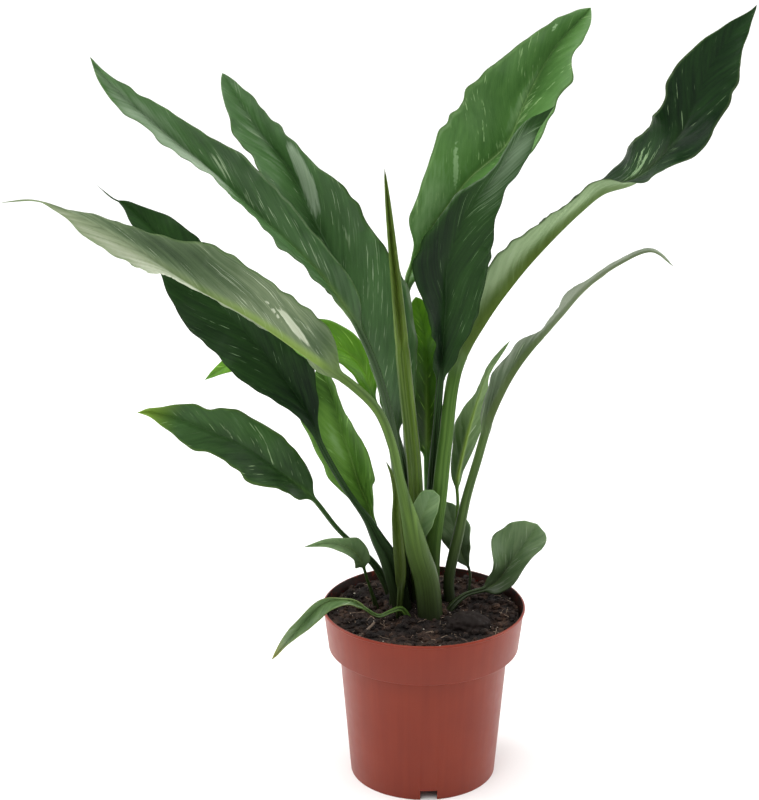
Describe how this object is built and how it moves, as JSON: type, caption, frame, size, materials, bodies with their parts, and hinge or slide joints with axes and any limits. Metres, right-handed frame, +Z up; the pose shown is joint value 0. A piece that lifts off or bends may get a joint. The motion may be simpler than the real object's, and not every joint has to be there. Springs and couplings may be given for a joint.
{
  "type": "potted peace lily",
  "caption": "Peace lily with long, waved, variegated leaves on slender stems that rise from one crown, in a round, tapered plastic nursery pot filled with soil.",
  "frame": {"origin": "centre of the pot's underside, on the surface that the pot stands on", "axes": "+Z up; +X right and -Y front, where the longest low leaf reaches out to the left"},
  "size_m": [0.3832, 0.2007, 0.4624],
  "materials": {
    "pot_plastic": "satin terracotta-brown polypropylene, thin enough to let some light through",
    "peat_soil": "damp dark brown peat with fibres, bark and light grains",
    "leaf_green": "satin green leaf with paler side veins, cream flecks and a lighter midrib"
  },
  "bodies": {
    "root": {"pot": "pot_plastic", "soil": "peat_soil", "leaf_upper_left": "leaf_green", "leaf_tall_left": "leaf_green", "leaf_long_left": "leaf_green", "leaf_dark_left": "leaf_green", "leaf_back_left": "leaf_green", "leaf_low_left": "leaf_green", "leaf_small_left": "leaf_green", "leaf_inner_left": "leaf_green", "leaf_over_rim": "leaf_green", "leaf_rolled_spike": "leaf_green", "leaf_tall_centre": "leaf_green", "leaf_dark_centre": "leaf_green", "leaf_tall_right": "leaf_green", "leaf_arching_right": "leaf_green", "leaf_small_right": "leaf_green", "leaf_low_right": "leaf_green", "leaf_torn_right": "leaf_green", "leaf_small_front": "leaf_green", "leaf_front_sheath": "leaf_green", "leaf_back_centre": "leaf_green"}
  },
  "joints": []
}
